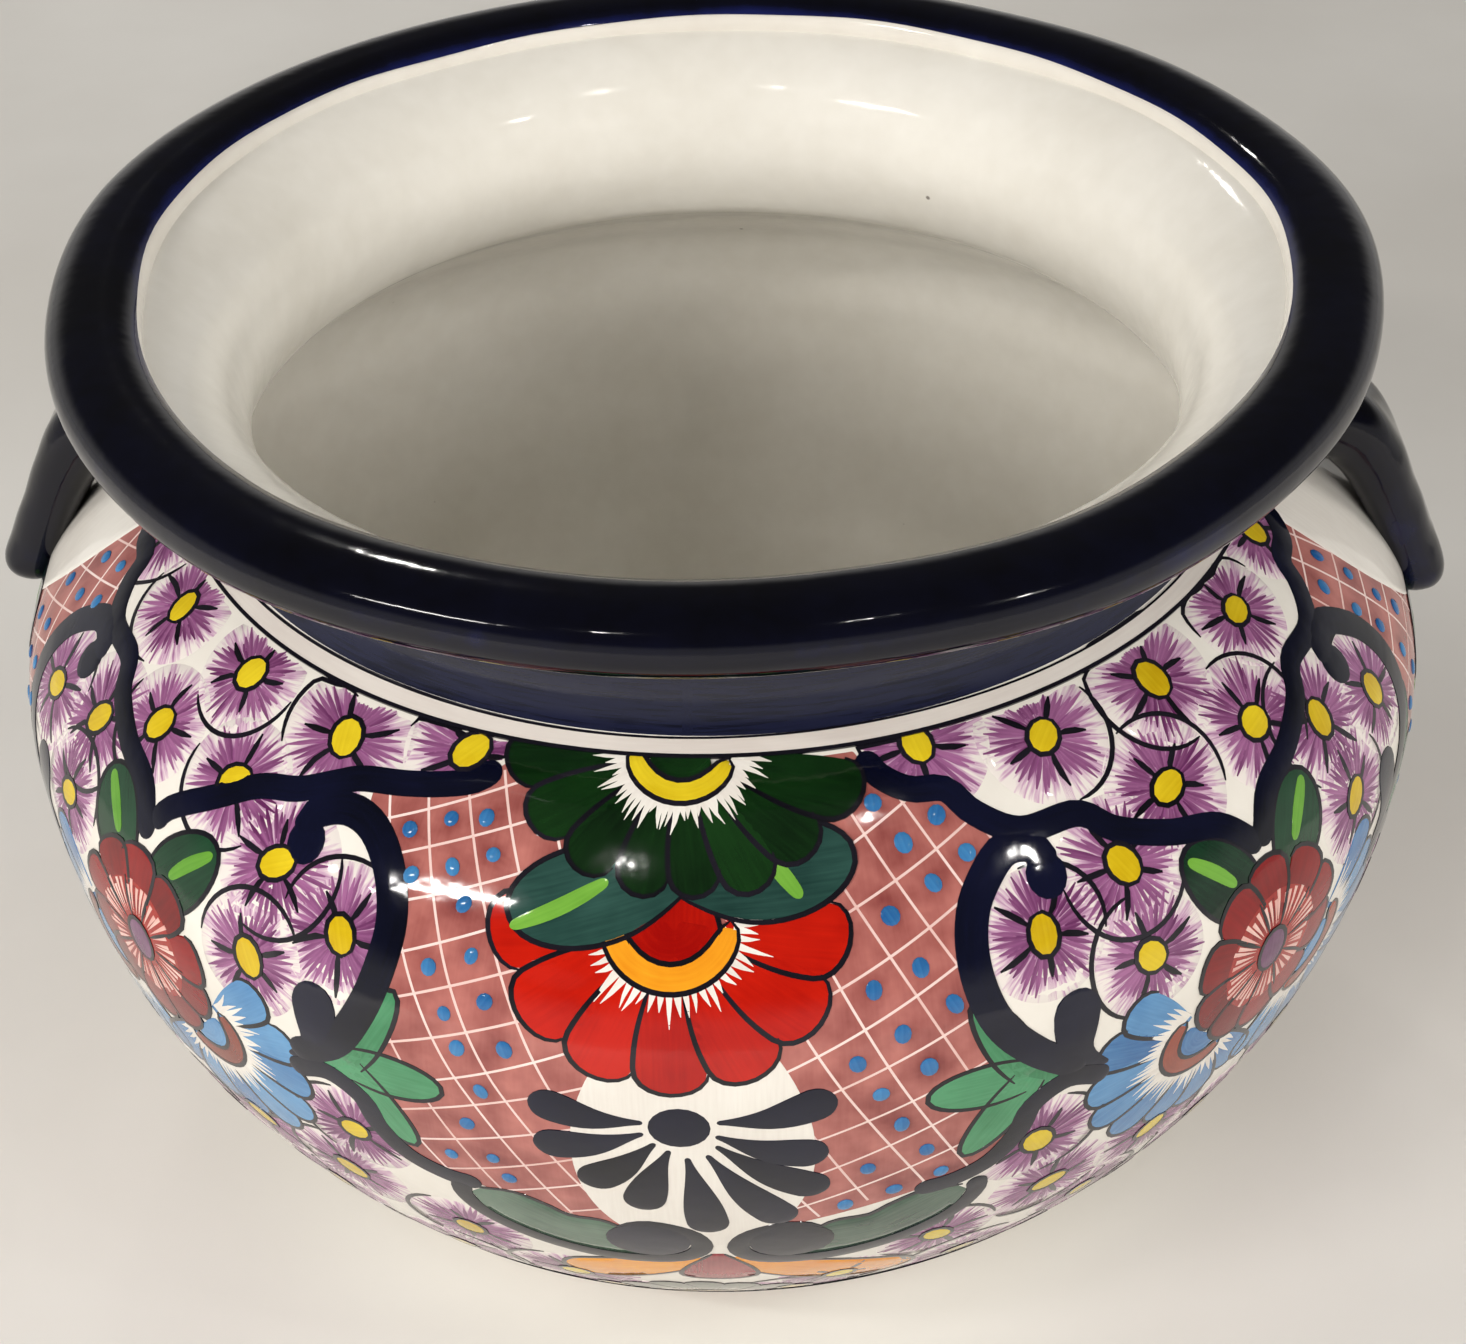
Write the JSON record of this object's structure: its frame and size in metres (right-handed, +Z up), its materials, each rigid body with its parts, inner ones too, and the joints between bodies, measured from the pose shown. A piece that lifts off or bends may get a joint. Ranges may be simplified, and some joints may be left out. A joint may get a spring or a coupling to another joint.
{
  "type": "ceramic vase",
  "caption": "Round-bellied tin-glazed earthenware vase with a wide rolled rim, short hollow neck, strap handles under the rim and painted lattice and flower ornament.",
  "frame": {"origin": "middle of the circle that the foot ring stands on, on the table plane", "axes": "+Z up along the pot's axis, -Y towards the front of the ornament, X through the two handles"},
  "size_m": [0.4372, 0.42, 0.293],
  "materials": {
    "bare_clay": "fired unglazed earthenware",
    "cobalt_glaze": "thick glossy blue-black cobalt glaze",
    "white_glaze": "glossy cream-white tin glaze",
    "painted_glaze": "glossy tin glaze painted with lattice and flower ornament"
  },
  "bodies": {
    "root": {"foot_ring": "bare_clay", "base_slab": "bare_clay", "lower_bowl": "bare_clay", "upper_bowl": "bare_clay", "neck_collar": "bare_clay", "rim_roll": "cobalt_glaze", "left_handle": "cobalt_glaze", "right_handle": "cobalt_glaze", "inner_glaze": "white_glaze", "outer_glaze": "painted_glaze"}
  },
  "joints": []
}
